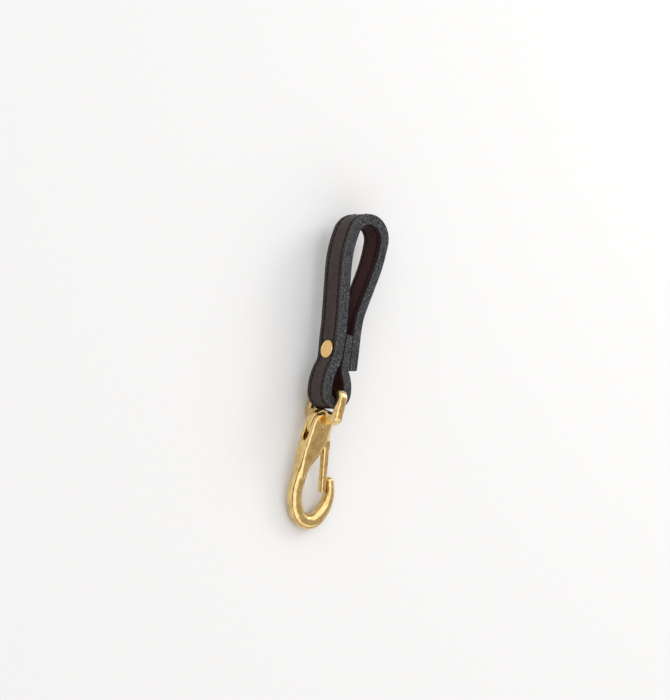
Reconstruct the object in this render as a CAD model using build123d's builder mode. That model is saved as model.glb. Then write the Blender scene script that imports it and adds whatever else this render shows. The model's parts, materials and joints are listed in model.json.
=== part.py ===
from build123d import *
import os
from math import cos, radians, sin

# Wristlet keychain: a doubled leather strap, riveted into a hand loop, with a brass lever snap hook.
# It lies on its edge: +Y runs from the hook to the hand loop, +Z is up, and the strap's width is upright.
# The origin is on the surface it lies on, under the middle of the whole object.

os.makedirs("parts", exist_ok=True)

# ---------------------------------------------------------------- driving dimensions (mm)
STRAP_WIDTH = 15.0
PLY = 2.7                       # one leather ply; the strap is two plies sewn together
THICK = 2 * PLY
SEAM_INSET = 2.2                # stitch row in from each cut edge
THREAD = 0.5                    # thread width, and depth of the groove that it lies in

# The strap's route along its glue line, from the free end under the loop to the end inside the loop.
# Each step is (radius, turn in degrees) for a bend, left positive, or (length, None) for a straight.
ROUTE_START = (8.108, 12.8)
ROUTE_HEADING = 93.7
ROUTE = [
    (20.5, None),               # riveted layer, right
    (43.0, -17.4),
    (19.0, None),
    (76.0, 13.6),
    (9.9, 166.2),               # top of the hand loop
    (58.0, 20.5),
    (28.0, None),
    (49.0, -6.6),
    (11.2, None),               # riveted layer, left
    (16.0, -22.6),
    (27.0, 30.7),
    (6.25, 173.4),              # round the eye
    (17.7, 29.7),
    (10.0, -31.2),
    (16.5, None),               # riveted layer, middle
]

RIVET_Y = 21.7                  # rivet above the middle of the lower loop
RIVET_HOLE = 1.6
CAP_R = 4.8
CAP_T = 1.1
CAP_ROUND = 0.5                 # rounding of each cap's rim
CAP_SUNK = 0.6                  # how far each cap is pulled into the leather
CAP_PLAY = 0.05                 # between a cap and its dent
TUBE_WALL = 0.4                 # rivet tube, which the stud fills
TUBE_LENGTH = 7.0

# Snap hook, in its own plane: p across, q towards the strap, n out of the plane; zero at the eye bar.
BAR_R = 2.15                    # eye bar that the strap hangs on
EYE_HALF = 9.9                  # half the inside width of the eye
SIDE_BAR = 4.3                  # thickness of the eye's side bars
EYE_DROP = 11.0                 # bar centre down to the crossbar's top edge
BRIDGE = (4.0, 6.0, 0.6)        # hump over the cheeks: half its top, half its foot, height
CROSS_FOOT = 17.4               # bar centre down to the crossbar's lower corners
EYE_CORNER = (2.0, 2.8)         # bevel of those corners, across and up
EYE_ROUND = 1.2                 # rounding of the eye's corners
PIVOT = (-0.5, -18.4)
CHEEK_R = 6.8
BODY_T = 9.2                    # over both cheeks
CHEEK_ROUND = 1.3               # rounding of the cheeks' edges
CHEEK_SPINE = [(-7.7, -28.0), (-7.9, -36.0), (-6.2, -46.0)]
CHEEK_MOUTH = [(-2.6, -48.0), (-0.1, -41.3), (3.3, -34.3), (6.0, -26.5)]
SLOT = 4.2                      # between the cheeks
WEB_T = 3.8                     # lever web that turns in the slot
WEB_SHOULDER = (5.6, -16.9)
WEB_HEEL = [(0.6, -25.8), (-4.9, -24.8), (-7.2, -21.5), (-7.4, -17.0), (-5.6, -13.0)]
POCKET_R = 7.0                  # clearance that the crossbar leaves round the cheeks
POCKET_T = 9.9
SLOT_FOOT = -28.0               # foot of the slot on the spine side
GATE_SLOT_FOOT = -41.5          # foot of the slot on the gate side, which the gate swings into
SPRING_SIDE = -4.0              # where the level foot ends and the slot starts to deepen
SLOT_KNEE = (-2.4, -33.0)       # a point on that slope, above the gate side's foot
PIN_R = 1.5
PIN_PRESS = 0.02                # clearance in the cheeks, where the pin is peened tight
PIN_PLAY = 0.04                 # clearance in the lever, which turns on it
GATE_W = 3.8
GATE_T = 3.9
GATE_TOP = (6.0, -25.4)
GATE_END = (12.2, -52.6)
GATE_ROUND = 1.2
GATE_NECK = (1.1, -4.3)         # the web laps this far down the gate
NOSE_R = 2.15
SPRING_R = 1.25                 # coil radius, to the middle of the wire
SPRING_WIRE = 0.45
SPRING_TURNS = 7
SPRING_Q = -30.0                # the spring pushes across the slot at this height
SPRING_SEAT = -5.4              # foot of its bore in the spine
SPRING_REACH = 3.8              # where it meets the gate
SPRING_PLAY = 0.15              # between the coil and its bore

CLEAR = 20.0                    # well outside the strap and hook, for cuts that run out of them

# Limb of the hook: centre line as (radius or length, turn), and radius across / through along it.
LIMB_START = (-4.9, -27.0)
LIMB_HEADING = 270.0
LIMB = [
    (25.6, None),
    (21.0, 42.0),
    (8.2, 103.0),
    (20.0, 60.0),
]
LIMB_SECTIONS = [               # distance along the limb as a fraction, half width, half thickness
    (0.0, 2.7, 3.4),
    (0.2, 3.3, 3.6),
    (0.4, 3.5, 3.7),
    (0.55, 3.8, 3.9),
    (0.68, 4.15, 4.1),
    (0.80, 3.5, 3.8),
    (0.90, 2.8, 3.2),
    (1.0, NOSE_R, 2.6),
]

# How the pieces lie at rest: the hook slopes from its wide eye down to its bend, which both touch the
# surface, and the strap, which fits the eye bar closely, is held clear of it and nearly level.
HOOK_SLOPE = 10.4               # hook's plane, falling away from the strap
STRAP_SLOPE = 1.0               # strap's middle line, rising away from the hook
BAR_ABOVE_BEND = 0.55           # eye bar above the centre of the strap's lower bend
EYE_AT = (-5.053, -11.126, 16.553)  # eye bar's middle from the origin


def sloping_plane(origin, slope):
    """Plane across +X whose own y direction rises by the slope as it runs towards +Y."""
    tilt = radians(slope)
    return Plane(origin=origin, x_dir=(1, 0, 0), z_dir=(0, -sin(tilt), cos(tilt)))


HOOK_PLANE = sloping_plane(EYE_AT, HOOK_SLOPE)


def route_points(start, heading, steps):
    """Corner points, headings and steps of a chain of straights and bends."""
    x, y = start
    h = radians(heading)
    chain = []
    for size, turn in steps:
        chain.append((x, y, h, size, turn))
        if turn is None:
            x, y = x + size * cos(h), y + size * sin(h)
        else:
            side = 1 if turn > 0 else -1
            cx, cy = x - side * size * sin(h), y + side * size * cos(h)
            h += radians(turn)
            x, y = cx + side * size * sin(h), cy - side * size * cos(h)
    chain.append((x, y, h, 0, None))
    return chain


strap_chain = route_points(ROUTE_START, ROUTE_HEADING, ROUTE)
lower_bend = strap_chain[11]
bend_centre = (
    lower_bend[0] - lower_bend[3] * sin(lower_bend[2]),
    lower_bend[1] + lower_bend[3] * cos(lower_bend[2]),
)

strap_rise = sloping_plane((0, 0, 0), STRAP_SLOPE)
bar_in_strap = strap_rise.from_local_coords(Vector(bend_centre[0], bend_centre[1] + BAR_ABOVE_BEND, 0))
STRAP_PLANE = sloping_plane(Vector(*EYE_AT) - bar_in_strap, STRAP_SLOPE)


def beside(chain_point, offset):
    """Point at an offset to the right of the route."""
    x, y, h = chain_point[:3]
    return (x + offset * sin(h), y - offset * cos(h))


def trace(chain, offset):
    """Lines and arcs along the route at an offset to its right, for use in a BuildLine."""
    for here, after in zip(chain, chain[1:]):
        size, turn = here[3], here[4]
        start, end = beside(here, offset), beside(after, offset)
        if turn is None:
            Line(start, end)
        else:
            middle_heading = here[2] + radians(turn) / 2
            side = 1 if turn > 0 else -1
            cx = here[0] - side * size * sin(here[2])
            cy = here[1] + side * size * cos(here[2])
            reach = side * size + offset
            ThreePointArc(start, (cx + reach * sin(middle_heading), cy - reach * cos(middle_heading)), end)


def band(chain, right, left, low, high, plane):
    """Solid between two offsets of the route, from one height to another across the width."""
    with BuildPart() as made:
        with BuildSketch(plane.offset(low)):
            with BuildLine():
                trace(chain, right)
                trace(chain, left)
                Line(beside(chain[0], right), beside(chain[0], left))
                Line(beside(chain[-1], right), beside(chain[-1], left))
            make_face()
        extrude(amount=high - low)
    return made.part


# ---------------------------------------------------------------- strap
half_width = STRAP_WIDTH / 2
seam_heights = {"upper": half_width - SEAM_INSET, "lower": SEAM_INSET - half_width}

# The end inside the loop is pared down so that it lies against the free end's leaning layer.
free_start, free_top = strap_chain[0], strap_chain[1]
with BuildPart() as paring:
    with BuildSketch(STRAP_PLANE.offset(-STRAP_WIDTH)):
        with BuildLine():
            run_in = (free_start[0] - cos(free_start[2]), free_start[1] - sin(free_start[2]), free_start[2])
            Polyline(
                beside(run_in, -PLY), beside(free_top, -PLY), (CLEAR, free_top[1]), (CLEAR, free_start[1]),
                close=True,
            )
        make_face()
    extrude(amount=2 * STRAP_WIDTH)

rivet_axis = Plane(
    origin=STRAP_PLANE.from_local_coords(Vector(0, RIVET_Y, 0)),
    x_dir=STRAP_PLANE.y_dir,
    z_dir=STRAP_PLANE.x_dir,
)
left_face = -THICK
right_face = beside(free_start, PLY)[0] - (RIVET_Y - free_start[1]) * sin(radians(ROUTE_HEADING - 90))

with BuildPart() as rivet_space:
    with BuildSketch(rivet_axis.offset(left_face - CAP_T)):
        Circle(RIVET_HOLE)
    extrude(amount=right_face - left_face + 2 * CAP_T)
    with BuildSketch(rivet_axis.offset(left_face - CAP_T)):
        Circle(CAP_R + CAP_PLAY)
    extrude(amount=CAP_T + CAP_SUNK)
    with BuildSketch(rivet_axis.offset(right_face - CAP_SUNK)):
        Circle(CAP_R + CAP_PLAY)
    extrude(amount=CAP_T + CAP_SUNK)

free_layer = strap_chain[:8]
looped_layer = strap_chain[7:]


def seam_band(side, level):
    """One thread along a face of the strap: side +1 is the outer face, -1 the lining face."""
    outer, inner = side * PLY, side * (PLY - THREAD)
    low, high = level - THREAD / 2, level + THREAD / 2
    first = band(free_layer, outer, inner, low, high, STRAP_PLANE)
    second = band(looped_layer, outer, inner, low, high, STRAP_PLANE) - paring.part
    return (first + second) - rivet_space.part


def leather_ply(side):
    """One ply of the whole strap, outside (+1) or lining side (-1) of the glue line."""
    first = band(free_layer, side * PLY, 0, -half_width, half_width, STRAP_PLANE)
    second = band(looped_layer, side * PLY, 0, -half_width, half_width, STRAP_PLANE) - paring.part
    ply = (first + second) - rivet_space.part
    for level in seam_heights.values():
        ply -= seam_band(side, level)
    return ply


for side, face in ((1, "outer"), (-1, "lining")):
    with BuildPart() as ply_part:
        add(leather_ply(side))
    ply_part.part.label = face + "_leather"
    export_step(ply_part.part, "parts/" + face + "_leather.step")
    for row, level in seam_heights.items():
        with BuildPart() as thread_part:
            add(seam_band(side, level))
        thread_part.part.label = row + "_seam_" + face + "_thread"
        export_step(thread_part.part, "parts/" + row + "_seam_" + face + "_thread.step")

# ---------------------------------------------------------------- rivet
with BuildPart() as rivet_cap:
    with BuildSketch(rivet_axis.offset(left_face + CAP_SUNK)):
        Circle(CAP_R)
    extrude(amount=-CAP_T)
    fillet(rivet_cap.faces().sort_by(Axis.X)[0].edges(), CAP_ROUND)
    with BuildSketch(rivet_axis.offset(left_face + CAP_SUNK)):
        Circle(RIVET_HOLE)
        Circle(RIVET_HOLE - TUBE_WALL, mode=Mode.SUBTRACT)
    extrude(amount=TUBE_LENGTH)
rivet_cap.part.label = "rivet_cap"
export_step(rivet_cap.part, "parts/rivet_cap.step")

with BuildPart() as rivet_stud:
    with BuildSketch(rivet_axis.offset(right_face - CAP_SUNK)):
        Circle(CAP_R)
    extrude(amount=CAP_T)
    fillet(rivet_stud.faces().sort_by(Axis.X)[-1].edges(), CAP_ROUND)
    with BuildSketch(rivet_axis.offset(left_face + CAP_SUNK)):
        Circle(RIVET_HOLE - TUBE_WALL)
    extrude(amount=right_face - left_face - 2 * CAP_SUNK)
    with BuildSketch(rivet_axis.offset(left_face + CAP_SUNK + TUBE_LENGTH)):
        Circle(RIVET_HOLE)
    extrude(amount=right_face - left_face - 2 * CAP_SUNK - TUBE_LENGTH)
rivet_stud.part.label = "rivet_stud"
export_step(rivet_stud.part, "parts/rivet_stud.step")

# ---------------------------------------------------------------- hook body
limb_chain = route_points(LIMB_START, LIMB_HEADING, LIMB)
limb_lengths = [size if turn is None else size * radians(abs(turn)) for size, turn in LIMB]


def limb_place(fraction):
    """Point and heading on the limb's centre line at a fraction of its length."""
    left = fraction * sum(limb_lengths)
    for (x, y, h, size, turn), length in zip(limb_chain, limb_lengths):
        if left <= length + 1e-9:
            if turn is None:
                return x + left * cos(h), y + left * sin(h), h
            cx, cy = x - size * sin(h), y + size * cos(h)
            h += left / size
            return cx + size * sin(h), cy - size * cos(h), h
        left -= length
    raise ValueError("fraction outside the limb")


def limb_size(fraction):
    """Half width and half thickness, straight between the listed sections."""
    for low, high in zip(LIMB_SECTIONS, LIMB_SECTIONS[1:]):
        if fraction <= high[0] + 1e-9:
            share = (fraction - low[0]) / (high[0] - low[0])
            return tuple(a + share * (b - a) for a, b in zip(low[1:], high[1:]))
    raise ValueError("fraction outside the limb")


def on_hook(p, q, n=0.0):
    """Point of the hook's plane in the object's frame."""
    return HOOK_PLANE.from_local_coords(Vector(p, q, n))


spring_plane = Plane(origin=on_hook(SPRING_SEAT, SPRING_Q), x_dir=HOOK_PLANE.z_dir, z_dir=HOOK_PLANE.x_dir)
limb_steps = 16
with BuildPart() as limb:
    for step in range(limb_steps + 1):
        p, q, h = limb_place(step / limb_steps)
        tangent = HOOK_PLANE.x_dir * cos(h) + HOOK_PLANE.y_dir * sin(h)
        with BuildSketch(Plane(origin=on_hook(p, q), x_dir=HOOK_PLANE.z_dir, z_dir=tangent)):
            half_wide, half_thick = limb_size(step / limb_steps)
            Ellipse(half_thick, half_wide)
    loft()

nose_p, nose_q, nose_h = limb_place(1.0)
nose_tip = Plane(
    origin=on_hook(nose_p, nose_q),
    x_dir=HOOK_PLANE.x_dir * cos(nose_h) + HOOK_PLANE.y_dir * sin(nose_h),
    z_dir=HOOK_PLANE.z_dir,
)

# Two cheeks in one: a disc round the pivot, drawn out to the limb on one side, and on the other to the
# top of the hook's opening.
cheek_left = (PIVOT[0] - CHEEK_R, PIVOT[1])
cheek_right = (PIVOT[0] + CHEEK_R, PIVOT[1])
cheek_top = (PIVOT[0], PIVOT[1] + CHEEK_R)
spine_side = [cheek_left, *CHEEK_SPINE]
mouth_side = [*CHEEK_MOUTH, cheek_right]
with BuildPart() as cheeks:
    with BuildSketch(HOOK_PLANE.offset(-BODY_T / 2)):
        with BuildLine():
            ThreePointArc(cheek_right, cheek_top, cheek_left)
            Spline(spine_side, tangents=[(0, -1), (0.3, -1)])
            Line(spine_side[-1], mouth_side[0])
            Spline(mouth_side, tangents=[(0.3, 1), (0, 1)])
        make_face()
    extrude(amount=BODY_T)
    flat_faces = cheeks.faces().filter_by(lambda f: abs(f.normal_at().dot(HOOK_PLANE.z_dir)) > 0.99)
    fillet(flat_faces.edges(), CHEEK_ROUND)

with BuildPart() as hook_body:
    add(cheeks.part)
    add(limb.part)
    with BuildSketch(nose_tip):
        with BuildLine():
            CenterArc((0, 0), NOSE_R, 0, 90)
            Polyline((0, NOSE_R), (0, 0), (NOSE_R, 0))
        make_face()
    revolve(axis=Axis(nose_tip.origin, nose_tip.x_dir), revolution_arc=360)
    # slot for the lever, open to the gate side all the way down
    with BuildSketch(HOOK_PLANE.offset(-SLOT / 2)):
        with BuildLine():
            Polyline(
                (-CLEAR, 0), (CLEAR, 0), (CLEAR, GATE_SLOT_FOOT), (0, GATE_SLOT_FOOT), SLOT_KNEE,
                (SPRING_SIDE, SLOT_FOOT), (-CLEAR, SLOT_FOOT),
                close=True,
            )
        make_face()
    extrude(amount=SLOT, mode=Mode.SUBTRACT)
    # bore that seats the gate spring
    with BuildSketch(spring_plane):
        Circle(SPRING_R + SPRING_WIRE / 2 + SPRING_PLAY)
    extrude(amount=SPRING_REACH - SPRING_SEAT, mode=Mode.SUBTRACT)
    # pivot pin hole
    with BuildSketch(HOOK_PLANE.offset(-BODY_T)):
        with Locations(PIVOT):
            Circle(PIN_R + PIN_PRESS)
    extrude(amount=2 * BODY_T, mode=Mode.SUBTRACT)
hook_body.part.label = "hook_body"
export_step(hook_body.part, "parts/hook_body.step")

with BuildPart() as pivot_pin:
    with BuildSketch(HOOK_PLANE.offset(-BODY_T / 2)):
        with Locations(PIVOT):
            Circle(PIN_R)
    extrude(amount=BODY_T)
pivot_pin.part.label = "pivot_pin"
export_step(pivot_pin.part, "parts/pivot_pin.step")

# ---------------------------------------------------------------- gate spring
spring_height = SPRING_REACH - SPRING_SEAT - SPRING_WIRE
with BuildPart() as gate_spring:
    with BuildLine():
        coil = Helix(
            pitch=spring_height / SPRING_TURNS,
            height=spring_height,
            radius=SPRING_R,
            center=spring_plane.offset(SPRING_WIRE / 2).origin,
            direction=spring_plane.z_dir,
        )
    with BuildSketch(Plane(origin=coil @ 0, z_dir=coil % 0)):
        Circle(SPRING_WIRE / 2)
    sweep(path=coil, is_frenet=True)
gate_spring.part.label = "gate_spring"
export_step(gate_spring.part, "parts/gate_spring.step")

# ---------------------------------------------------------------- lever: eye, web and gate in one casting
eye_outer = EYE_HALF + SIDE_BAR
eye_plane = Plane(origin=EYE_AT, x_dir=HOOK_PLANE.z_dir, z_dir=HOOK_PLANE.x_dir)
# in eye_plane, x runs along the eye bar and y runs away from the strap
eye_down = -1 if eye_plane.y_dir.dot(HOOK_PLANE.y_dir) > 0 else 1

with BuildPart() as lever:
    # stirrup: rounded frame round the strap, with a crossbar that tapers towards the pivot
    with BuildSketch(eye_plane.offset(-BAR_R)):
        with BuildLine():
            Polyline(
                (-eye_outer, -eye_down * BAR_R), (eye_outer, -eye_down * BAR_R),
                (eye_outer, eye_down * (CROSS_FOOT - EYE_CORNER[1])),
                (eye_outer - EYE_CORNER[0], eye_down * CROSS_FOOT),
                (EYE_CORNER[0] - eye_outer, eye_down * CROSS_FOOT),
                (-eye_outer, eye_down * (CROSS_FOOT - EYE_CORNER[1])),
                close=True,
            )
        make_face()
        with BuildLine():
            Polyline(
                (-EYE_HALF, eye_down * BAR_R), (EYE_HALF, eye_down * BAR_R),
                (EYE_HALF, eye_down * EYE_DROP), (BRIDGE[1], eye_down * EYE_DROP),
                (BRIDGE[0], eye_down * (EYE_DROP - BRIDGE[2])), (-BRIDGE[0], eye_down * (EYE_DROP - BRIDGE[2])),
                (-BRIDGE[1], eye_down * EYE_DROP), (-EYE_HALF, eye_down * EYE_DROP),
                close=True,
            )
        make_face(mode=Mode.SUBTRACT)
    extrude(amount=2 * BAR_R)
    fillet(lever.edges().filter_by(Axis(EYE_AT, HOOK_PLANE.x_dir)), EYE_ROUND)
    flat_faces = lever.faces().filter_by(lambda f: abs(f.normal_at().dot(HOOK_PLANE.x_dir)) > 0.99)
    fillet(flat_faces.edges(), EYE_ROUND - 0.1)
    # the cheeks turn in a pocket under the crossbar
    with BuildSketch(HOOK_PLANE.offset(-POCKET_T / 2)):
        with Locations(PIVOT):
            Circle(POCKET_R)
    extrude(amount=POCKET_T, mode=Mode.SUBTRACT)
    # web through the slot, and the gate bar below it
    with BuildSketch(HOOK_PLANE.offset(-WEB_T / 2)):
        with BuildLine():
            Polyline(
                (BAR_R, -EYE_DROP), WEB_SHOULDER, (GATE_TOP[0] + GATE_W / 2, GATE_TOP[1]),
                (GATE_TOP[0] + GATE_W / 2 + GATE_NECK[0], GATE_TOP[1] + GATE_NECK[1]),
                (GATE_TOP[0] - GATE_W / 2 + GATE_NECK[0], GATE_TOP[1] + GATE_NECK[1]),
                *WEB_HEEL, (-BAR_R, -EYE_DROP),
                close=True,
            )
        make_face()
    extrude(amount=WEB_T)
    gate_run = Vector(GATE_END[0] - GATE_TOP[0], GATE_END[1] - GATE_TOP[1])
    gate_dir = HOOK_PLANE.x_dir * gate_run.X + HOOK_PLANE.y_dir * gate_run.Y
    gate_plane = Plane(origin=on_hook(*GATE_TOP), x_dir=HOOK_PLANE.z_dir, z_dir=gate_dir)
    with BuildSketch(gate_plane):
        RectangleRounded(GATE_T, GATE_W, GATE_ROUND)
    extrude(amount=gate_run.length)
    with BuildSketch(HOOK_PLANE.offset(-BODY_T)):
        with Locations(PIVOT):
            Circle(PIN_R + PIN_PLAY)
    extrude(amount=2 * BODY_T, mode=Mode.SUBTRACT)
lever.part.label = "lever"
export_step(lever.part, "parts/lever.step")
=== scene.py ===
import json
import math

import bpy
import numpy as np
from mathutils import Matrix, Vector, noise


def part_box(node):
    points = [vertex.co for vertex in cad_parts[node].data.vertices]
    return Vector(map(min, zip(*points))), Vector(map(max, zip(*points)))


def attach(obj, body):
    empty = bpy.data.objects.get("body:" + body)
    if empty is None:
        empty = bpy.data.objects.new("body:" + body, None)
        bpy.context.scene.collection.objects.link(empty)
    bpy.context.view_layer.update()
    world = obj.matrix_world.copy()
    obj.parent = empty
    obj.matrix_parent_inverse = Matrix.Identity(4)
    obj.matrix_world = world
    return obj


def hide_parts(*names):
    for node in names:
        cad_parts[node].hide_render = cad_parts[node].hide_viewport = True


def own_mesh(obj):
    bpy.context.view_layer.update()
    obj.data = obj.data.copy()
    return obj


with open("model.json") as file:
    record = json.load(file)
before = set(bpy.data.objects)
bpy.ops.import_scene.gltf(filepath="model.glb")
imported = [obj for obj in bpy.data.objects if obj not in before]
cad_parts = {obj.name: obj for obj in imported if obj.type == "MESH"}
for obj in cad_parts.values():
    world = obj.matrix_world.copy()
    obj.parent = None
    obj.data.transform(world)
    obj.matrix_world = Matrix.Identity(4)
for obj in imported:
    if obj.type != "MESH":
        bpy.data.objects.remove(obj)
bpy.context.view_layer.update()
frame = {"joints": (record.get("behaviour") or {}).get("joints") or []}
MM = 0.001

# ------------------------------------------------------------------ places, from the frame
joints = {j["name"]: j for j in frame["joints"]}
EYE = Vector(joints["eye_swing"]["pos_m"])
HOOK_NORMAL = Vector(joints["eye_swing"]["axis"]).normalized()
ACROSS = Vector((1, 0, 0))
HOOK_UP = HOOK_NORMAL.cross(ACROSS)
pivot_arm = (Vector(joints["gate"]["pos_m"]) - EYE) / MM
PIVOT = (pivot_arm.dot(ACROSS), pivot_arm.dot(HOOK_UP))

# ------------------------------------------------------------------ strap sizes (mm) and route
WIDTH = 15.0
HALF = WIDTH / 2
PLY = 2.7
SEAM_AT = 4.75                  # stitch rows, either side of the middle
STRAP_SLOPE = math.radians(1.0)
BAR_ABOVE_BEND = 0.55
ROUTE_START = (8.108, 12.8)
ROUTE_HEADING = 93.7
# (radius, turn) for a bend, left positive; (length, None) for a straight
ROUTE = [
    (20.5, None), (43.0, -17.4), (19.0, None), (76.0, 13.6), (9.9, 166.2), (58.0, 20.5), (28.0, None),
    (49.0, -6.6), (11.2, None), (16.0, -22.6), (27.0, 30.7), (6.25, 173.4), (17.7, 29.7), (10.0, -31.2),
    (16.5, None),
]
# steps of the route: top of the hand loop, riveted layer on the left, bend round the eye
LOOP_BEND, LEFT_LAYER, LOWER_BEND = 4, 8, 11
RIVET_Y = 21.7
STITCH = 2.9                    # stitch pitch
STITCH_GAP = 0.38               # from a hole's middle to where a stitch comes up
THREAD_R = 0.5


def chain_of(start, heading, steps):
    """Start point, heading, size, turn and distance so far of each step of a route, and its end."""
    x, y = start
    h = math.radians(heading)
    rows, run = [], 0.0
    for size, turn in steps:
        rows.append((x, y, h, size, turn, run))
        if turn is None:
            x, y = x + size * math.cos(h), y + size * math.sin(h)
            run += size
        else:
            side = 1 if turn > 0 else -1
            cx, cy = x - side * size * math.sin(h), y + side * size * math.cos(h)
            h += math.radians(turn)
            x, y = cx + side * size * math.sin(h), cy - side * size * math.cos(h)
            run += size * abs(math.radians(turn))
    rows.append((x, y, h, 0.0, None, run))
    return rows


def chain_at(rows, distance):
    """Point and heading on a route at a distance from its start."""
    for row, after in zip(rows, rows[1:]):
        if distance <= after[5] or after is rows[-1]:
            x, y, h, size, turn, run = row
            along = distance - run
            if turn is None:
                return x + along * math.cos(h), y + along * math.sin(h), h
            side = 1 if turn > 0 else -1
            cx, cy = x - side * size * math.sin(h), y + side * size * math.cos(h)
            h += side * along / size
            return cx + side * size * math.sin(h), cy - side * size * math.cos(h), h


strap_rows = chain_of(ROUTE_START, ROUTE_HEADING, ROUTE)
STRAP_LENGTH = strap_rows[-1][5]
bend = strap_rows[LOWER_BEND]
BEND_CENTRE = (bend[0] - bend[3] * math.sin(bend[2]), bend[1] + bend[3] * math.cos(bend[2]))
STRAP_UP = Vector((0, math.cos(STRAP_SLOPE), math.sin(STRAP_SLOPE)))
STRAP_NORMAL = ACROSS.cross(STRAP_UP)
STRAP_ZERO = EYE - (BEND_CENTRE[0] * ACROSS + (BEND_CENTRE[1] + BAR_ABOVE_BEND) * STRAP_UP) * MM


def on_strap(x, y, w):
    """Point of the strap: x across, y towards the hand loop, w over its width, in mm."""
    return STRAP_ZERO + (x * ACROSS + y * STRAP_UP + w * STRAP_NORMAL) * MM


def on_hook(p, q, n):
    """Point of the hook: p across, q towards the strap, n out of its plane, in mm from the eye."""
    return EYE + (p * ACROSS + q * HOOK_UP + n * HOOK_NORMAL) * MM


# ------------------------------------------------------------------ mesh helpers
def new_object(name, verts, faces, materials, indices=None):
    """Smooth-shaded mesh object; indices gives each face its material."""
    mesh = bpy.data.meshes.new(name)
    mesh.from_pydata([tuple(v) for v in verts], [], faces)
    for material in materials:
        mesh.materials.append(material)
    if indices is not None:
        mesh.polygons.foreach_set("material_index", indices)
    mesh.polygons.foreach_set("use_smooth", [True] * len(mesh.polygons))
    mesh.validate()
    mesh.update()
    made = bpy.data.objects.new(name, mesh)
    bpy.context.scene.collection.objects.link(made)
    return made


def ring_faces(rings, sides, first=0):
    """Quads between rings of the same number of points, closed round each ring."""
    faces = []
    for r in range(rings - 1):
        for k in range(sides):
            a = first + r * sides + k
            b = first + r * sides + (k + 1) % sides
            faces.append((a, b, b + sides, a + sides))
    return faces


def lathe(name, profile, axis_origin, axis_dir, material, sides=96):
    """Turned piece: profile is (radius, height) in mm from one end of the axis to the other."""
    z = axis_dir.normalized()
    x = z.orthogonal().normalized()
    y = z.cross(x)
    verts = []
    for radius, height in profile:
        for k in range(sides):
            a = 2 * math.pi * k / sides
            verts.append(axis_origin + (z * height + (x * math.cos(a) + y * math.sin(a)) * radius) * MM)
    faces = ring_faces(len(profile), sides)
    faces.append(tuple(reversed(range(sides))))
    last = (len(profile) - 1) * sides
    faces.append(tuple(range(last, last + sides)))
    return new_object(name, verts, faces, [material])


# ------------------------------------------------------------------ node helpers for materials
def new_material(name):
    """New material with its nodes, links and main shader."""
    material = bpy.data.materials.new(name)
    material.use_nodes = True
    nodes, links = material.node_tree.nodes, material.node_tree.links
    return material, nodes, links, nodes["Principled BSDF"]


def add_node(nodes, kind, **values):
    """Node with the given inputs or settings."""
    node = nodes.new(kind)
    for key, value in values.items():
        if key in node.inputs:
            node.inputs[key].default_value = value
        else:
            setattr(node, key, value)
    return node


def ramp(nodes, links, source, stops):
    """Colour ramp over a value, from (place, colour) stops."""
    node = nodes.new("ShaderNodeValToRGB")
    elements = node.color_ramp.elements
    while len(elements) < len(stops):
        elements.new(0.5)
    for element, (place, colour) in zip(elements, stops):
        element.position = place
        element.color = colour if len(colour) == 4 else (*colour, 1)
    links.new(source, node.inputs["Fac"])
    return node.outputs["Color"]


def place_of(nodes, links, scale=(1, 1, 1)):
    """Object coordinates in millimetres."""
    where = nodes.new("ShaderNodeTexCoord")
    mapping = add_node(nodes, "ShaderNodeMapping")
    mapping.inputs["Scale"].default_value = tuple(1000 * s for s in scale)
    links.new(where.outputs["Object"], mapping.inputs["Vector"])
    return mapping.outputs["Vector"]


def bump_of(nodes, links, height, strength, distance_mm, normal=None):
    """Bump from a height, over another bump if one is given."""
    node = add_node(nodes, "ShaderNodeBump", Strength=strength, Distance=distance_mm * MM)
    links.new(height, node.inputs["Height"])
    if normal is not None:
        links.new(normal, node.inputs["Normal"])
    return node.outputs["Normal"]


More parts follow.
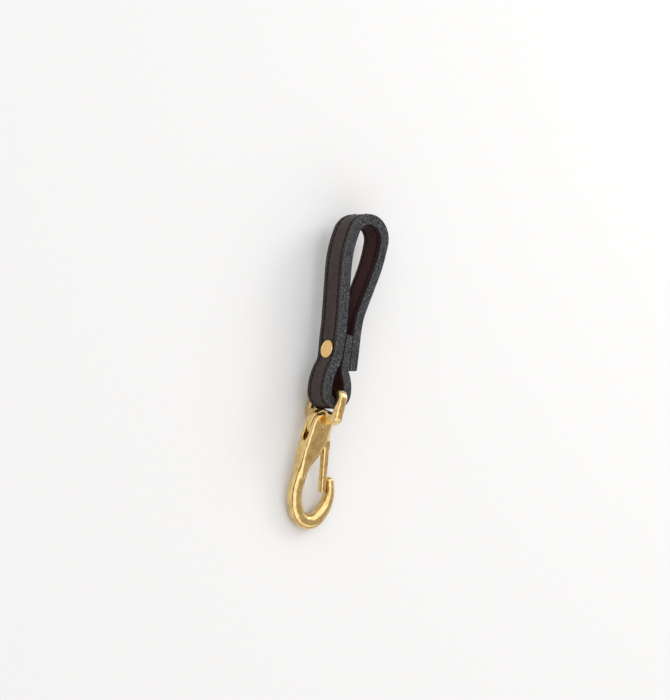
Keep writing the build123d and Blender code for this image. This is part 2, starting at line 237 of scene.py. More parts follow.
def leather_face(name, deep, light, roughness):
    """Waxed leather, grain side: fine pebbled grain, faint creases, cloudy colour, and near-black painted
    shade in the seam grooves, stitch holes and crease lines.
    """
    material, nodes, links, shader = new_material(name)
    where = place_of(nodes, links)
    clouds = add_node(nodes, "ShaderNodeTexNoise", Scale=0.22, Detail=5.0, Roughness=0.62)
    links.new(where, clouds.inputs["Vector"])
    mottle = add_node(nodes, "ShaderNodeTexNoise", Scale=1.6, Detail=6.0, Roughness=0.7)
    links.new(where, mottle.inputs["Vector"])
    mixed = add_node(nodes, "ShaderNodeMix", data_type="FLOAT")
    mixed.inputs["Factor"].default_value = 0.4
    links.new(clouds.outputs["Fac"], mixed.inputs["A"])
    links.new(mottle.outputs["Fac"], mixed.inputs["B"])
    colour = ramp(nodes, links, mixed.outputs["Result"], [(0.32, deep), (0.68, light)])
    # painted shade: the face turns near black in the seam grooves, stitch holes and crease lines, as the
    # strap's per-point value says
    groove_shade = add_node(nodes, "ShaderNodeAttribute", attribute_name="groove_shade")
    darker = add_node(nodes, "ShaderNodeMix", data_type="RGBA")
    links.new(groove_shade.outputs["Fac"], darker.inputs["Factor"])
    links.new(colour, darker.inputs["A"])
    darker.inputs["B"].default_value = (0.003, 0.0025, 0.0025, 1)
    links.new(darker.outputs["Result"], shader.inputs["Base Color"])
    grain = add_node(nodes, "ShaderNodeTexVoronoi", Scale=2.6, feature="SMOOTH_F1")
    links.new(where, grain.inputs["Vector"])
    pores = add_node(nodes, "ShaderNodeTexNoise", Scale=6.5, Detail=3.0)
    links.new(where, pores.inputs["Vector"])
    creases = add_node(nodes, "ShaderNodeTexNoise", Scale=0.75, Detail=4.0, Distortion=1.2)
    links.new(where, creases.inputs["Vector"])
    first = bump_of(nodes, links, grain.outputs["Distance"], 0.35, 0.12)
    second = bump_of(nodes, links, pores.outputs["Fac"], 0.25, 0.05, first)
    third = bump_of(nodes, links, creases.outputs["Fac"], 0.35, 0.25, second)
    links.new(third, shader.inputs["Normal"])
    sheen = ramp(nodes, links, mottle.outputs["Fac"],
                 [(0.3, (roughness - 0.07,) * 3), (0.7, (roughness + 0.1,) * 3)])
    links.new(sheen, shader.inputs["Roughness"])
    shader.inputs["Specular IOR Level"].default_value = 0.3
    return material


def leather_edge(name, deep, light, fleck, coarse=1.0):
    """Cut edge: dyed fibres, packed and burnished, with pale fibre ends; with other colours it also makes the
    painted highlight on the outer arrises and the painted shade between the plies.
    """
    material, nodes, links, shader = new_material(name)
    where = place_of(nodes, links)
    fibre = add_node(nodes, "ShaderNodeTexNoise", Scale=1.15 * coarse, Detail=3.0, Roughness=0.6)
    links.new(where, fibre.inputs["Vector"])
    base = ramp(nodes, links, fibre.outputs["Fac"], [(0.42, deep), (0.60, light)])
    specks = add_node(nodes, "ShaderNodeTexNoise", Scale=2.1 * coarse, Detail=2.0, Roughness=0.5)
    links.new(where, specks.inputs["Vector"])
    mask = ramp(nodes, links, specks.outputs["Fac"], [(0.55, (0, 0, 0)), (0.66, (1, 1, 1))])
    mixed = add_node(nodes, "ShaderNodeMix", data_type="RGBA")
    links.new(mask, mixed.inputs["Factor"])
    links.new(base, mixed.inputs["A"])
    mixed.inputs["B"].default_value = (*fleck, 1)
    links.new(mixed.outputs["Result"], shader.inputs["Base Color"])
    first = bump_of(nodes, links, fibre.outputs["Fac"], 0.9, 0.45)
    second = bump_of(nodes, links, specks.outputs["Fac"], 0.6, 0.2, first)
    links.new(second, shader.inputs["Normal"])
    shader.inputs["Roughness"].default_value = 0.72
    shader.inputs["Specular IOR Level"].default_value = 0.18
    return material


def thread_material():
    """Waxed black thread with its twist."""
    material, nodes, links, shader = new_material("waxed_thread")
    where = place_of(nodes, links)
    twist = add_node(nodes, "ShaderNodeTexWave", Scale=1.9, Distortion=0.6, Detail=1.0)
    twist.bands_direction = "DIAGONAL"
    links.new(where, twist.inputs["Vector"])
    colour = ramp(nodes, links, twist.outputs["Fac"],
                  [(0.2, (0.002, 0.002, 0.002)), (0.9, (0.007, 0.006, 0.006))])
    links.new(colour, shader.inputs["Base Color"])
    links.new(bump_of(nodes, links, twist.outputs["Fac"], 0.7, 0.12), shader.inputs["Normal"])
    shader.inputs["Roughness"].default_value = 0.65
    shader.inputs["Specular IOR Level"].default_value = 0.15
    return material


def brass_material(name, bright, tarnish, smooth, rough, grain=0.35):
    """Cast brass, tumbled to a shine: soft dimples, fine scratches, and darker tarnish in patches."""
    material, nodes, links, shader = new_material(name)
    where = place_of(nodes, links)
    patches = add_node(nodes, "ShaderNodeTexNoise", Scale=0.28, Detail=6.0, Roughness=0.65)
    links.new(where, patches.inputs["Vector"])
    spots = add_node(nodes, "ShaderNodeTexNoise", Scale=2.2, Detail=4.0, Roughness=0.7)
    links.new(where, spots.inputs["Vector"])
    mixed = add_node(nodes, "ShaderNodeMix", data_type="FLOAT")
    mixed.inputs["Factor"].default_value = 0.35
    links.new(patches.outputs["Fac"], mixed.inputs["A"])
    links.new(spots.outputs["Fac"], mixed.inputs["B"])
    colour = ramp(nodes, links, mixed.outputs["Result"], [(0.34, tarnish), (0.56, bright)])
    links.new(colour, shader.inputs["Base Color"])
    shader.inputs["Metallic"].default_value = 1.0
    gloss = ramp(nodes, links, mixed.outputs["Result"], [(0.35, (rough,) * 3), (0.62, (smooth,) * 3)])
    links.new(gloss, shader.inputs["Roughness"])
    dimples = add_node(nodes, "ShaderNodeTexNoise", Scale=0.55, Detail=3.0, Roughness=0.5)
    links.new(where, dimples.inputs["Vector"])
    streaked = place_of(nodes, links, (2.2, 0.22, 2.2))
    scratches = add_node(nodes, "ShaderNodeTexNoise", Scale=1.6, Detail=5.0, Roughness=0.75)
    links.new(streaked, scratches.inputs["Vector"])
    first = bump_of(nodes, links, dimples.outputs["Fac"], 0.32, 0.26)
    second = bump_of(nodes, links, spots.outputs["Fac"], grain * 0.5, 0.08, first)
    third = bump_of(nodes, links, scratches.outputs["Fac"], grain * 0.8, 0.07, second)
    links.new(third, shader.inputs["Normal"])
    return material


def steel_material():
    """Drawn spring wire."""
    material, nodes, links, shader = new_material("spring_wire")
    where = place_of(nodes, links)
    haze = add_node(nodes, "ShaderNodeTexNoise", Scale=1.5, Detail=4.0)
    links.new(where, haze.inputs["Vector"])
    links.new(ramp(nodes, links, haze.outputs["Fac"], [(0.3, (0.28, 0.27, 0.26)), (0.7, (0.55, 0.54, 0.52))]),
              shader.inputs["Base Color"])
    links.new(bump_of(nodes, links, haze.outputs["Fac"], 0.3, 0.04), shader.inputs["Normal"])
    shader.inputs["Metallic"].default_value = 1.0
    shader.inputs["Roughness"].default_value = 0.35
    return material


def floor_material():
    """Plain pale matt surface."""
    material, nodes, links, shader = new_material("pale_surface")
    where = place_of(nodes, links)
    tooth = add_node(nodes, "ShaderNodeTexNoise", Scale=0.6, Detail=5.0)
    links.new(where, tooth.inputs["Vector"])
    colour = ramp(nodes, links, tooth.outputs["Fac"],
                  [(0.3, (0.74, 0.74, 0.745)), (0.7, (0.76, 0.76, 0.765))])
    links.new(colour, shader.inputs["Base Color"])
    shader.inputs["Roughness"].default_value = 0.85
    shader.inputs["Specular IOR Level"].default_value = 0.2
    return material


GRAIN = leather_face("strap_grain", (0.022, 0.0135, 0.0125), (0.052, 0.034, 0.031), 0.54)
# the lining's reddish brown is its own colour, darkened further as painted shade for the inside of the loop
LINING = leather_face("strap_lining_painted_shade", (0.018, 0.004, 0.0035), (0.066, 0.013, 0.011), 0.66)
EDGE = leather_edge("strap_cut_edge", (0.003, 0.003, 0.004), (0.036, 0.035, 0.040), (0.23, 0.23, 0.245), 1.35)
# the arris is lighter than the cut edge: partly wear on the burnished edge, partly a painted highlight where
# light catches the bevel
ARRIS = leather_edge("strap_arris_wear_and_painted_highlight", (0.035, 0.033, 0.034), (0.085, 0.082, 0.084), (0.15, 0.147, 0.15))
THREAD = thread_material()
BRASS = brass_material("cast_brass", (0.85, 0.625, 0.285), (0.52, 0.35, 0.135), 0.11, 0.22)
RIVET_BRASS = brass_material("rivet_brass", (0.97, 0.65, 0.26), (0.88, 0.57, 0.21), 0.24, 0.34, 0.2)
# painted shade: near-black colour on the lining ply's arrises, standing in for the shade in the gap where the
# plies meet
PLY_GAP_SHADE = leather_edge(
    "strap_ply_gap_painted_shade", (0.002, 0.002, 0.002), (0.013, 0.012, 0.012), (0.03, 0.028, 0.03)
)
STEEL = steel_material()


# ------------------------------------------------------------------ strap
def wobble(*place):
    """Smooth noise from -1 to 1 at a place given in its own scale."""
    return noise.noise(Vector(place))


middle_start = strap_rows[LOWER_BEND + 1][5]
paring_from = strap_rows[0]
paring_dir = (math.cos(paring_from[2]), math.sin(paring_from[2]))
paring_point = (
    paring_from[0] - PLY * math.sin(paring_from[2]),
    paring_from[1] + PLY * math.cos(paring_from[2]),
)
rivet_left = strap_rows[LEFT_LAYER][5] + (strap_rows[LEFT_LAYER][1] - RIVET_Y)
rivet_right = (RIVET_Y - strap_rows[0][1]) / math.cos(math.radians(ROUTE_HEADING - 90))
END_ROUND = 1.6                 # rounding of the free end's outer corner


def keep_left_of_free_end(distance, x, y):
    """Pares the end inside the loop so that it lies against the free end's layer."""
    if distance < middle_start or y < 11.5:
        return x
    along = (y - paring_point[1]) / paring_dir[1]
    limit = paring_point[0] + along * paring_dir[0] - 0.04
    return min(x, limit)


CREASE_AT = 6.75                # pressed line beside each edge
CROWN = 0.10                    # how far the middle of a face stands up
SEAM_WIDE, SEAM_DEEP, HOLE_DEEP = 0.52, 0.16, 0.26
CREASE_WIDE, CREASE_DEEP = 0.14, 0.12
DENT_R, DENT_DEEP = 5.6, 0.52   # dent under each rivet cap


def face_relief(distance, w, side):
    """How far the strap's face stands above or below flat, in mm, and how deep the painted shade in its seam
    grooves, stitch holes and crease lines is, 0 to 1.
    """
    depth = CROWN * (1 - min(1.0, abs(w) / SEAM_AT) ** 2)
    off_seam = (abs(w) - SEAM_AT) / SEAM_WIDE
    seam = math.exp(-off_seam * off_seam)
    beat = (distance / STITCH) % 1.0
    hole = math.exp(-(min(beat, 1 - beat) * STITCH / 0.42) ** 2)
    depth -= seam * (SEAM_DEEP + HOLE_DEEP * hole)
    crease = math.exp(-((abs(w) - CREASE_AT) / CREASE_WIDE) ** 2)
    depth -= CREASE_DEEP * crease
    depth += 0.05 * wobble(distance * 0.12, w * 0.2, side * 3.0)
    if side > 0:
        for centre in (rivet_left, rivet_right):
            far = math.hypot(distance - centre, w) / DENT_R
            depth -= DENT_DEEP * math.exp(-far ** 4)
    # painted shade: strongest in the seam grooves and stitch holes, less along the crease lines
    return depth, min(1.0, 0.9 * seam + 0.1 * seam * hole + 0.6 * crease)


def eased(value, low, high):
    """0 below low, 1 above high, and a smooth step between."""
    share = max(0.0, min(1.0, (value - low) / (high - low)))
    return share * share * (3 - 2 * share)


loop_top = (strap_rows[LOOP_BEND][5] + strap_rows[LOOP_BEND + 1][5]) / 2
left_end = strap_rows[LEFT_LAYER + 1][5]
FULLEST = 0.55
MOST_LEAN = 0.75


def fullness(distance):
    """Extra thickness of the outer ply, in mm, where it is stretched round the hand loop's left side."""
    from_top = eased(distance, loop_top - 22, loop_top)
    return FULLEST * from_top * (1 - eased(distance, left_end - 14, left_end + 4))


def leaning(distance, w):
    """How far the hand loop's left layer leans out towards its lower edge, in mm to the left."""
    from_top = eased(distance, loop_top - 10, loop_top + 16)
    lean = MOST_LEAN * from_top * (1 - eased(distance, left_end - 12, left_end + 6))
    return lean * (HALF - w) / WIDTH


ARRIS_R = 0.5
PLY_STEP = 0.4
END_EASE = 0.3                  # rounding of all corners at the strap's two ends
face_steps = 76
arris_steps = 4
edge_steps = 7


def edge_fibre(distance, k, side):
    """Unevenness of the cut edge, in mm."""
    return 0.05 * wobble(distance * 1.9, k * 0.9, side * 5.0) + 0.04 * wobble(distance * 0.5, k * 0.4, side)


def ply_section(distance, side):
    """Points (right, w, painted shade) round one ply's section; the glue side closes it."""
    rim = HALF + 0.07 * wobble(distance * 0.18, 7.0, side) - 0.07
    other = HALF + 0.07 * wobble(distance * 0.18, -7.0, side) - 0.07
    points = []
    for k in range(edge_steps):
        right = side * (PLY - ARRIS_R) * k / edge_steps
        points.append((right, -rim + edge_fibre(distance, k, side), 0))
    for k in range(arris_steps):
        a = math.pi / 2 * k / arris_steps
        right = side * (PLY - ARRIS_R + ARRIS_R * math.sin(a))
        points.append((right, -rim + ARRIS_R * (1 - math.cos(a)), 0))
    for k in range(face_steps + 1):
        share = k / face_steps
        w = -rim + ARRIS_R + share * (rim + other - 2 * ARRIS_R)
        blend = min(1.0, (HALF - abs(w)) / 0.7)
        depth, groove_shade = face_relief(distance, w, side)
        points.append((side * (PLY + blend * depth), w, groove_shade))
    for k in range(1, arris_steps + 1):
        a = math.pi / 2 * (1 - k / arris_steps)
        right = side * (PLY - ARRIS_R + ARRIS_R * math.sin(a))
        points.append((right, other - ARRIS_R * (1 - math.cos(a)), 0))
    for k in range(1, edge_steps + 1):
        right = side * (PLY - ARRIS_R) * (1 - k / edge_steps)
        points.append((right, other + edge_fibre(distance, k + 30, side), 0))
    return points


def make_ply(name, side, face_material):
    """Whole ply of the strap, outer (1) or lining (-1), swept along the route section by section."""
    count = int(STRAP_LENGTH / PLY_STEP)
    distances = [0.0, 0.08, 0.2] + [STRAP_LENGTH * k / count for k in range(1, count)]
    distances += [STRAP_LENGTH - 0.2, STRAP_LENGTH - 0.08, STRAP_LENGTH]
    verts, dark = [], []
    for distance in distances:
        x, y, h = chain_at(strap_rows, distance)
        to_end = min(distance, STRAP_LENGTH - distance)
        inset = 0.0
        if to_end < END_EASE:
            inset = END_EASE - math.sqrt(END_EASE ** 2 - (END_EASE - to_end) ** 2)
        limit = PLY
        if side > 0 and distance < END_ROUND:
            limit = PLY - END_ROUND + math.sqrt(END_ROUND ** 2 - (END_ROUND - distance) ** 2)
        full = 1 + fullness(distance) / PLY if side > 0 else 1
        for right, w, groove_shade in ply_section(distance, side):
            kept = max(0.0, min(abs(right), limit) - inset * (abs(right) > 0.5))
            right = math.copysign(kept, right)
            w = math.copysign(min(abs(w), HALF - inset), w)
            px, py = x + full * right * math.sin(h), y - full * right * math.cos(h)
            px = keep_left_of_free_end(distance, px, py) - leaning(distance, w)
            verts.append(on_strap(px, py, w))
            dark.append(groove_shade)
    sides = len(verts) // len(distances)
    faces = ring_faces(len(distances), sides)
    first_face = edge_steps + arris_steps
    last_face = first_face + face_steps
    indices = []
    for r in range(len(distances) - 1):
        for k in range(sides):
            if first_face <= k < last_face:
                indices.append(0)
            elif edge_steps <= k < first_face or last_face <= k < last_face + arris_steps:
                indices.append(2)
            else:
                indices.append(1)
    faces.append(tuple(reversed(range(sides))))
    faces.append(tuple(range((len(distances) - 1) * sides, len(distances) * sides)))
    indices += [1, 1]
    if side < 0:
        faces = [tuple(reversed(f)) for f in faces]
    # the outer ply's arrises get the lighter arris colour, partly wear and partly painted highlight; the
    # lining ply's get painted shade between the plies
    materials = [face_material, EDGE, ARRIS if side > 0 else PLY_GAP_SHADE]
    made = new_object(name, verts, faces, materials, indices=indices)
    # per-point painted shade for the grooves, read by the face materials
    made.data.attributes.new("groove_shade", "FLOAT", "POINT").data.foreach_set("value", dark)
    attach(made, "strap")
    return made


outer = make_ply("outer_ply", 1, GRAIN)
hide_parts("outer_leather")
lining = make_ply("lining_ply", -1, LINING)
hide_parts("lining_leather")


def make_seam(name, side, w_row, node):
    """One row of separate stitches on one face, each a short length of thread between two holes."""
    verts, faces = [], []
    rings, sides = 9, 8
    for k in range(1, int((STRAP_LENGTH - 1.0) / STITCH)):
        start, end = k * STITCH + STITCH_GAP, (k + 1) * STITCH - STITCH_GAP
        slant = 0.16 + 0.05 * wobble(k * 0.9, w_row, side)
        base = len(verts)
        for r in range(rings):
            share = r / (rings - 1)
            distance = start + share * (end - start)
            x, y, h = chain_at(strap_rows, distance)
            arch = math.sin(math.pi * share) ** 0.5
            height = PLY - 0.52 + 0.42 * arch
            w = w_row + slant * (share - 0.5) * 2 + 0.05 * wobble(k * 1.7, side * 2.0, w_row)
            radius = THREAD_R * (0.55 + 0.45 * arch)
            for m in range(sides):
                a = 2 * math.pi * m / sides
                right = side * (height + radius * 0.8 * math.cos(a)) + max(0, side) * fullness(distance)
                px, py = x + right * math.sin(h), y - right * math.cos(h)
                px = keep_left_of_free_end(distance, px, py) - leaning(distance, w)
                verts.append(on_strap(px, py, w + radius * math.sin(a)))
        faces += ring_faces(rings, sides, base)
        faces.append(tuple(range(base, base + sides)))
        top = base + (rings - 1) * sides
        faces.append(tuple(reversed(range(top, top + sides))))
    made = new_object(name, verts, faces, [THREAD])
    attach(made, "strap")
    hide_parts(node)
    return made


for row, w_row in (("upper", SEAM_AT), ("lower", -SEAM_AT)):
    make_seam(row + "_row_outer_stitches", 1, w_row, row + "_seam_outer_thread")
    make_seam(row + "_row_lining_stitches", -1, w_row, row + "_seam_lining_thread")

# ------------------------------------------------------------------ rivet
rivet_axis_at = on_strap(0, RIVET_Y, 0)
cap_low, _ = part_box("rivet_cap")
_, stud_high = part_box("rivet_stud")
cap_face = (cap_low.x - rivet_axis_at.x) / MM - fullness(rivet_left) - leaning(rivet_left, 0)
stud_face = (stud_high.x - rivet_axis_at.x) / MM
TUBE_R = 1.6
CAP_REACH, STUD_REACH = 6.5, 7.0
# (radius, depth behind the foremost point) of either cap, from its middle out and back to the tube
CAP_PROFILE = [
    (0.0, 0.16), (2.4, 0.17), (3.3, 0.20), (3.7, 0.19), (3.95, 0.06), (4.2, 0.02), (4.5, 0.08),
    (4.72, 0.24), (4.8, 0.45), (4.78, 0.75), (4.6, 1.05), (TUBE_R, 1.1),
]


def rivet_profile(face, direction, reach):
    """Profile along +X of a cap at a place and its tube, which reaches to the right (1) or left (-1)."""
    rows = [(max(radius, 0.001), face + direction * depth) for radius, depth in CAP_PROFILE]
    rows.append((TUBE_R, face + direction * reach))
    return rows if direction > 0 else list(reversed(rows))


cap = lathe("rivet_cap_turned", rivet_profile(cap_face, 1, CAP_REACH), rivet_axis_at, ACROSS, RIVET_BRASS)
stud_profile = rivet_profile(stud_face, -1, STUD_REACH)
stud = lathe("rivet_stud_turned", stud_profile, rivet_axis_at, ACROSS, RIVET_BRASS)
for piece, node in ((cap, "rivet_cap"), (stud, "rivet_stud")):
    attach(piece, "strap")
    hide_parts(node)


# ------------------------------------------------------------------ cast brass, from distance fields
def surface_net(field, low, step):
    """Quad mesh of the surface where the field is zero; inside is negative."""
    inside = field < 0
    count = np.zeros(tuple(n - 1 for n in field.shape), np.int8)
    corners = [(i, j, k) for i in (0, 1) for j in (0, 1) for k in (0, 1)]
    shape = field.shape

    def part(array, corner):
        return array[tuple(slice(c, n - 1 + c) for c, n in zip(corner, shape))]

    for corner in corners:
        count += part(inside, corner)
    active = (count > 0) & (count < 8)
    index = np.full(active.shape, -1, np.int64)
    index[active] = np.arange(active.sum())
    total = np.zeros((int(active.sum()), 3))
    hits = np.zeros(int(active.sum()))
    for a in corners:
        for axis in range(3):
            if a[axis]:
                continue
            b = tuple(1 if m == axis else a[m] for m in range(3))
            va, vb = part(field, a)[active], part(field, b)[active]
            cross = (va < 0) != (vb < 0)
            share = np.where(cross, va / np.where(cross, va - vb, 1.0), 0.0)
            place = np.tile(np.array(a, float), (len(va), 1))
            place[:, axis] += share
            total += place * cross[:, None]
            hits += cross
    cells = np.argwhere(active)
    verts = np.array(low) + step * (cells + total / hits[:, None])
    quads = []
    for axis in range(3):
        u, v = [m for m in range(3) if m != axis]
        here = [slice(1, -1)] * 3
        here[axis] = slice(0, -1)
        after = list(here)
        after[axis] = slice(1, None)
        first, second = inside[tuple(here)], inside[tuple(after)]
        for flip in (False, True):
            spots = np.argwhere((first & ~second) if not flip else (~first & second))
            spots[:, u] += 1
            spots[:, v] += 1
            around = []
            for du, dv in ((-1, -1), (0, -1), (0, 0), (-1, 0)):
                cell = spots.copy()
                cell[:, u] += du
                cell[:, v] += dv
                around.append(index[cell[:, 0], cell[:, 1], cell[:, 2]])
            quad = np.stack(around, 1)
            if flip != (axis == 1):
                quad = quad[:, ::-1]
            quads.append(quad)
    return verts, np.concatenate(quads)


def grid(low, high, step):
    """Coordinates of a block of points."""
    axes = [np.arange(a, b + step, step) for a, b in zip(low, high)]
    return np.meshgrid(*axes, indexing="ij")


def smooth_least(a, b, k):
    """The nearer of two fields, blended over k mm."""
    h = np.clip(0.5 + 0.5 * (b - a) / k, 0, 1)
    return b * (1 - h) + a * h - k * h * (1 - h)


def smooth_most(a, b, k):
    """The further of two fields, blended over k mm."""
    return -smooth_least(-a, -b, k)


def outline_distance(points, p, q):
    """Signed distance to a closed outline in a plane, negative inside."""
    nearest = np.full(p.shape, 1e9)
    inside = np.zeros(p.shape, bool)
    for (ax, ay), (bx, by) in zip(points, points[1:] + points[:1]):
        ex, ey = bx - ax, by - ay
        t = np.clip(((p - ax) * ex + (q - ay) * ey) / (ex * ex + ey * ey + 1e-12), 0, 1)
        nearest = np.minimum(nearest, np.hypot(p - ax - t * ex, q - ay - t * ey))
        crosses = ((ay > q) != (by > q)) & (p < (bx - ax) * (q - ay) / (by - ay + 1e-12) + ax)
        inside ^= crosses
    return np.where(inside, -nearest, nearest)


def line_distance(points, p, q):
    """Distance to an open line of points in a plane."""
    nearest = np.full(p.shape, 1e9)
    for (ax, ay), (bx, by) in zip(points, points[1:]):
        ex, ey = bx - ax, by - ay
        t = np.clip(((p - ax) * ex + (q - ay) * ey) / (ex * ex + ey * ey + 1e-12), 0, 1)
        nearest = np.minimum(nearest, np.hypot(p - ax - t * ex, q - ay - t * ey))
    return nearest


def curve_through(points, per_span=8):
    """Smooth line through a few points."""
    ends = [points[0]] + list(points) + [points[-1]]
    made = []
    for a, b, c, d in zip(ends, ends[1:], ends[2:], ends[3:]):
        for k in range(per_span):
            t = k / per_span
            made.append(tuple(
                0.5 * (2 * b[m] + (c[m] - a[m]) * t + (2 * a[m] - 5 * b[m] + 4 * c[m] - d[m]) * t * t
                       + (3 * b[m] - a[m] - 3 * c[m] + d[m]) * t ** 3)
                for m in (0, 1)
            ))
    return made + [tuple(points[-1])]


def rounded_slab(outline, n, half, rounding):
    """Slab of a half thickness with a rounded rim, from its outline's field."""
    over = np.maximum(outline + rounding, 0)
    out = np.maximum(np.abs(n) - half + rounding, 0)
    return np.hypot(over, out) + np.minimum(np.maximum(outline, np.abs(n) - half) + rounding, 0) - rounding


def cast_ripple(p, q, n, seed, size):
    """Slow unevenness of a hand-finished casting."""
    ripple = np.sin(p * 0.9 + q * 0.35 + seed) * np.sin(q * 0.55 - n * 0.6 + 2 * seed)
    ripple = ripple + 0.6 * np.sin(p * 1.7 - q * 1.1 + n * 1.3 + 3 * seed)
    return size * ripple


def cast_piece(name, field, low, step, material):
    """Object from a field over a block of points in the hook's coordinates."""
    verts, quads = surface_net(field, low, step)
    base = np.array(EYE)
    spread = (verts[:, :1] * np.array(ACROSS) + verts[:, 1:2] * np.array(HOOK_UP)
              + verts[:, 2:] * np.array(HOOK_NORMAL))
    made = new_object(name, base + spread * MM, quads.tolist(), [material])
    relax = made.modifiers.new("relax", "SMOOTH")
    relax.factor = 0.5
    relax.iterations = 3
    return made


# hook body
BODY_T = 9.2
CHEEK_R = 6.7
CHEEK_ROUND = 1.3
CHEEK_TAPER = 0.035             # how much each cheek thins per mm down the hook
BEVEL_WIDE, BEVEL_FALL = 2.7, 0.85
SLOT = 4.2
SLOT_FOOT = -28.0
FOOT_FALL = 3.9                 # how steeply the slot deepens towards the gate side
LIMB_START = (-4.9, -27.0)
LIMB = [(25.6, None), (21.0, 42.0), (8.2, 103.0), (20.0, 60.0)]
# fraction of the length, half width, half thickness, squareness
LIMB_SECTIONS = [
    (0.0, 2.7, 3.5, 3.2),
    (0.2, 3.3, 3.6, 3.0),
    (0.4, 3.5, 3.7, 2.7),
    (0.55, 3.8, 3.9, 2.5),
    (0.68, 4.15, 4.1, 2.4),
    (0.80, 3.5, 3.8, 2.3),
    (0.90, 2.8, 3.2, 2.3),
    (1.0, 2.15, 2.6, 2.2),
]
limb_rows = chain_of(LIMB_START, 270.0, LIMB)
limb_length = limb_rows[-1][5]
limb_line = [chain_at(limb_rows, limb_length * k / 120) for k in range(121)]


def limb_field(p, q, n):
    """The hook's bent limb, with sections between round and square."""
    flat_p, flat_q = p[:, :, 0], q[:, :, 0]
    far = np.full(flat_p.shape, 1e9)
    share = np.zeros(flat_p.shape)
    for k, (x, y, h) in enumerate(limb_line):
        away = np.hypot(flat_p - x, flat_q - y)
        along = (flat_p - x) * math.cos(h) + (flat_q - y) * math.sin(h)
        nearer = away < far
        far = np.where(nearer, away, far)
        share = np.where(nearer, np.clip((k + along * 120 / limb_length) / 120, 0, 1), share)
        if 0 < k < 120:
            sideways = np.abs((flat_q - y) * math.cos(h) - (flat_p - x) * math.sin(h))
            far = np.where(nearer & (np.abs(along) < 0.6), np.maximum(sideways, 1e-3), far)
    places = [row[0] for row in LIMB_SECTIONS]
    wide = np.interp(share, places, [row[1] for row in LIMB_SECTIONS])[:, :, None]
    thick = np.interp(share, places, [row[2] for row in LIMB_SECTIONS])[:, :, None]
    square = np.interp(share, places, [row[3] for row in LIMB_SECTIONS])[:, :, None]
    far = far[:, :, None]
    measure = ((far / wide) ** square + (np.abs(n) / thick) ** square) ** (1 / square)
    return (measure - 1) * np.minimum(wide, thick)


def arc_points(centre, radius, start, end, count):
    """Points of an arc between two angles in degrees."""
    return [
        (centre[0] + radius * math.cos(math.radians(start + (end - start) * k / count)),
         centre[1] + radius * math.sin(math.radians(start + (end - start) * k / count)))
        for k in range(count + 1)
    ]


spine_side = curve_through([(PIVOT[0] - CHEEK_R, PIVOT[1]), (-7.7, -28.0), (-7.9, -36.0), (-6.2, -46.5)])
mouth_side = curve_through(
    [(-2.2, -51.5), (-1.1, -45.5), (0.6, -40.0), (3.3, -34.3), (6.0, -26.5), (PIVOT[0] + CHEEK_R, PIVOT[1])]
)
cheek_outline = arc_points(PIVOT, CHEEK_R, 0, 180, 24) + spine_side[1:] + mouth_side[:-1]


def body_field(p, q, n):
    """Cheeks and limb of the hook, with the slot for the lever."""
    flat_p, flat_q = p[:, :, 0], q[:, :, 0]
    outline = outline_distance(cheek_outline, flat_p, flat_q)[:, :, None]
    half = BODY_T / 2 - CHEEK_TAPER * np.clip(PIVOT[1] - 4 - q, 0, 28)
    cheeks = rounded_slab(outline, n, half, CHEEK_ROUND)
    from_mouth = line_distance(mouth_side, flat_p, flat_q)[:, :, None]
    bevel = (np.abs(n) - half + (BEVEL_WIDE - from_mouth) * BEVEL_FALL) / 1.3
    cheeks = smooth_most(cheeks, bevel, 0.5)
    body = smooth_least(cheeks, limb_field(p, q, n), 1.2)
    # slot for the lever: open above, with a round foot that falls away on the gate side
    foot = SLOT_FOOT - FOOT_FALL * np.clip(p + 4.0, 0, 3.6)
    centre_q = foot + SLOT / 2
    slot = np.where(q > centre_q, np.abs(n) - SLOT / 2, np.hypot(n, q - centre_q) - SLOT / 2)
    body = smooth_most(body, -slot, 0.35)
    return body + cast_ripple(p, q, n, 0.7, 0.035)


STEP = 0.27
body_low, body_high = (-11.5, -74.5, -5.6), (21.5, -11.0, 5.6)
p, q, n = grid(body_low, body_high, STEP)
hook = cast_piece("hook_casting", body_field(p, q, n), body_low, STEP, BRASS)
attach(hook, "hook")
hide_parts("hook_body")

# lever: eye, web and gate
BAR_R = 2.15
EYE_HALF = 9.9
EYE_DROP = 11.0
CROSSBAR_DOWN = 2.8             # crossbar's middle below its top edge
EYE_CORNER = 2.5
BRIDGE_Q, BRIDGE_T, BRIDGE_HALF = -11.3, 1.9, 6.0
BAR_SQUARE = 3.6                # 2 is a round bar
GATE_TOP = (6.0, -25.4)
GATE_END = (12.2, -52.6)
GATE_HALF, GATE_TAPER = 1.95, 0.3
WEB_T = 3.3
WEB_ROUND = 0.4
POCKET_R = 6.92
POCKET_T = 9.9
web_outline = curve_through([
    (-2.0, -11.2), (2.0, -11.2), (5.4, PIVOT[1] + 1.5), (GATE_TOP[0] + 1.6, GATE_TOP[1]),
    (GATE_TOP[0] + 2.7, GATE_TOP[1] - 4.3), (GATE_TOP[0] - 0.5, GATE_TOP[1] - 4.5), (0.6, -25.8),
    (-4.7, -24.6), (-7.0, -21.5), (-7.4, -17.0), (-5.6, -13.0), (-2.0, -11.0),
], 5)[:-1]


# (distance from the middle, q) round either half of the crossbar's flat fan
FAN_OUTLINE = [
    (-1.0, -11.5), (11.4, -11.5), (13.4, -12.8), (13.4, -14.3), (11.6, -16.1), (4.0, -18.4), (-1.0, -21.0),
]


